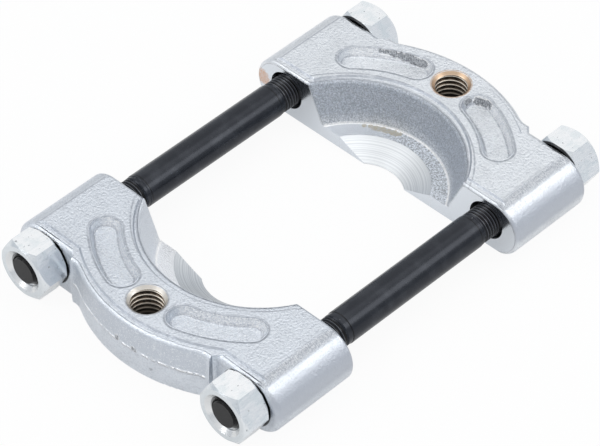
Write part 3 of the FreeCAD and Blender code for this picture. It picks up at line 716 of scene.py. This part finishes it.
# %% Thread the four stud ends
STUD_PITCH = 1.5 * MM
CORE, STUD_CREST = 6.463 * MM, 6.99 * MM
SUNK = 0.03 * MM
STUD_FOOT_HALF, STUD_CREST_HALF = 0.66 * MM, 0.10 * MM
RUNOUT_SLOPE = 1.2
STUD_END, END_FACE, CHAMFER = 100.0 * MM, 5.6 * MM, 1.8 * MM
TAPER = (CORE - END_FACE) / CHAMFER
LAST_TURN = STUD_END - CHAMFER * 0.6
INNER_END = {"front": 39.4 * MM, "rear": 38.7 * MM}


def stud_crest(inner):
    """The crest's radius, limited by the chamfered end and by the run-out at the collar."""
    def crest_at(height):
        by_end = END_FACE + (STUD_END - height) * TAPER
        by_collar = CORE + max(0, height - inner) * RUNOUT_SLOPE
        return max(CORE - SUNK, min(STUD_CREST, by_end, by_collar))
    return crest_at


for end, turned_over in (("front", math.pi / 2), ("rear", -math.pi / 2)):
    inner = INNER_END[end]
    turns = (LAST_TURN - inner) / STUD_PITCH
    for side, sign in (("left", -1), ("right", 1)):
        shape = bmesh.new()
        thread_ridge(shape, STUD_PITCH, inner, turns, CORE - SUNK, stud_crest(inner),
                     STUD_FOOT_HALF, STUD_CREST_HALF)
        axis = Vector((sign * STUD_HALF * MM, 0, STUD_LEVEL * MM))
        place = Matrix.Translation(axis) @ Matrix.Rotation(turned_over, 4, "X")
        piece_from(shape, f"{end}_{side}_stud_thread", place, black_oxide, "studs")

# %% [markdown]
# ## The tapped holes
# A puller rod screws into each jaw. The tap cut through the plating, so these threads are bare
# steel: bright on the crests, brown between them, and darker with depth, because little light
# gets in. The countersink is pale on the front jaw and copper coloured on the rear one.

# %% Bare tapped steel
RIM_RADIUS, TAP_MAJOR, TAP_MINOR = 8.05, 7.96, 6.72
DEEP_BROWN, BROWN, BARE_CREST = (0.035, 0.03, 0.025), (0.20, 0.15, 0.11), (0.62, 0.57, 0.50)
PALE_SINK, COPPER_SINK = (0.74, 0.71, 0.66), (0.64, 0.47, 0.33)


def make_bare_thread():
    material, shade, shader = new_finish("bare_tapped_thread")
    spot, x, y, z = place_in_mm(shade)
    radius = distance(x, abs(y) - TAP_AXIS)
    crest = radius.fall(TAP_MINOR + 0.1, TAP_MINOR + 0.45)
    mouth = z.rise(TOP - 1.5, TOP - 1.2)
    lit = z.rise(TOP - 14, TOP - 3)
    cloud = lumps(spot, 1.5, 3)
    colour = mix(DEEP_BROWN, BROWN, lit * cloud.rise(0.3, 0.7))
    colour = mix(colour, BARE_CREST, crest * lit)
    countersink = mix(PALE_SINK, COPPER_SINK, y.rise(-1, 1))
    colour = mix(colour, countersink, mouth * (0.75 + 0.25 * cloud))
    finish_with(shader, shade, colour, 0.42 - 0.1 * crest, lumps(spot, 0.8, 3) * 0.04)
    return material


bare_thread = make_bare_thread()
print("nodes in the bare thread's finish:", len(bare_thread.node_tree.nodes))

# %% [markdown]
# The same ridge lines the holes, this time pointing inwards. At the mouth the countersink cuts
# the first turn away to a ring, which is a profile turned once round the hole's axis.

# %% Thread the tapped holes
TAP_PITCH = 2.309
TAP_START = 1.2
TAP_FOOT_HALF, TAP_CREST_HALF = 1.0, 0.22
MOUTH_RING = [(TAP_MAJOR, 24.9), (TAP_MINOR, 23.7), (TAP_MAJOR, 22.9)]
STEPS_IN_THE_RING = 72


def ring_of(shape, profile, steps):
    """Turn a closed profile of (radius, height) all the way round the Z axis."""
    rows = []
    for step in range(steps):
        turn = math.tau * step / steps
        rows.append([shape.verts.new((radius * math.cos(turn), radius * math.sin(turn), height))
                     for radius, height in profile])
    for row, after in zip(rows, rows[1:] + rows[:1]):
        for low in range(len(profile)):
            high = (low + 1) % len(profile)
            shape.faces.new((row[low], row[high], after[high], after[low]))


def tap_crest(height):
    """The crest's radius: the tap's minor radius, cut back by both countersinks."""
    edge = min(height, TOP - height)
    return min(TAP_MAJOR, max(TAP_MINOR, RIM_RADIUS - edge))


for end, sign in (("front", -1), ("rear", 1)):
    shape = bmesh.new()
    thread_ridge(shape, TAP_PITCH, TAP_START, (TOP - 2 * TAP_START) / TAP_PITCH, TAP_MAJOR,
                 tap_crest, TAP_FOOT_HALF, TAP_CREST_HALF)
    ring_of(shape, MOUTH_RING, STEPS_IN_THE_RING)
    place = Matrix.Translation((0, sign * TAP_AXIS * MM, 0)) @ Matrix.Scale(MM, 4)
    piece_from(shape, f"{end}_tapped_thread", place, bare_thread, f"{end}_jaw")

# %% [markdown]
# ## Floor and light
# The tool lay on a white table in a light tent. Metal shows what stands round it, so the tent
# matters more than any lamp: bright overhead, greyer towards the horizon. The floor is pale
# paper that also glows a little white of its own, nearly fully for the camera and half as much
# for reflections. That keeps the ground white while the soft shadow under the tool stays.

# %% The floor
PAPER = (0.76, 0.765, 0.77)
GLOW_SHARE, MIRRORED_SHARE = 0.93, 0.5
FLOOR_HALF_SIDE = 4
FLOOR_DROP = 0.2 * MM


def make_floor_paper():
    material = bpy.data.materials.new("pale_floor")
    material.use_nodes = True
    tree = material.node_tree
    shade = Shade(tree)
    paper = shade.node("ShaderNodeBsdfDiffuse", None, {"Color": (*PAPER, 1)})
    glow = shade.node("ShaderNodeEmission", None, {"Color": (*WHITE, 1), "Strength": 1})
    camera_ray = shade.node("ShaderNodeLightPath", out="Is Camera Ray")
    reflected = camera_ray.twin("Is Glossy Ray") * MIRRORED_SHARE
    seen = camera_ray.most(camera_ray.twin("Is Transmission Ray")).most(reflected)
    both = shade.node("ShaderNodeMixShader", None, {0: seen * GLOW_SHARE, 1: paper, 2: glow})
    tree.links.new(both.socket, tree.nodes["Material Output"].inputs["Surface"])
    return material


shape = bmesh.new()
bmesh.ops.create_grid(shape, x_segments=1, y_segments=1, size=FLOOR_HALF_SIDE)
shape.transform(Matrix.Translation((0, 0, -FLOOR_DROP)))
floor_mesh = bpy.data.meshes.new("floor")
shape.to_mesh(floor_mesh)
shape.free()
floor_mesh.materials.append(make_floor_paper())
floor = bpy.data.objects.new("floor", floor_mesh)
bpy.context.scene.collection.objects.link(floor)
print("floor laid,", 2 * FLOOR_HALF_SIDE, "m wide")

# %% [markdown]
# The tent is the world: a colour that depends only on how high one looks. Three large square
# lamps add the highlights, one from behind on the right, one from the front on the left and one
# from above, as softboxes stand round a table.

# %% The light tent and its softboxes
ZENITH, HORIZON = (0.98, 0.98, 0.98), (0.61, 0.645, 0.69)


def pitch_tent():
    """A grey world that grows brighter towards the top."""
    world = bpy.data.worlds.new("light_tent")
    world.use_nodes = True
    bpy.context.scene.world = world
    shade = Shade(world.node_tree)
    direction = shade.node("ShaderNodeTexCoord", out="Generated")
    height = shade.node("ShaderNodeSeparateXYZ", sockets={0: direction}, out="Z")
    background = world.node_tree.nodes["Background"]
    tone = mix(HORIZON, ZENITH, height.rise(0.0, 0.9))
    world.node_tree.links.new(tone.socket, background.inputs["Color"])
    background.inputs["Strength"].default_value = 1


def softbox(name, direction, far, size, power):
    """A square lamp that looks at the tool from a direction."""
    lamp = bpy.data.lights.new(name, "AREA")
    lamp.shape = "SQUARE"
    lamp.size = size
    lamp.energy = power
    stand = bpy.data.objects.new(name, lamp)
    bpy.context.scene.collection.objects.link(stand)
    away = Vector(direction).normalized()
    stand.location = away * far
    stand.rotation_mode = "QUATERNION"
    stand.rotation_quaternion = away.to_track_quat("Z", "Y")
    print(name, "at", [round(part, 2) for part in stand.location])


pitch_tent()
softbox("back_right_box", (0.60, 0.50, 0.63), far=1.0, size=0.42, power=1.25)
softbox("front_left_box", (-0.45, -0.60, 0.66), far=1.0, size=0.5, power=1.6)
softbox("overhead_box", (0.1, 0.2, 1.0), far=1.1, size=0.9, power=1.6)
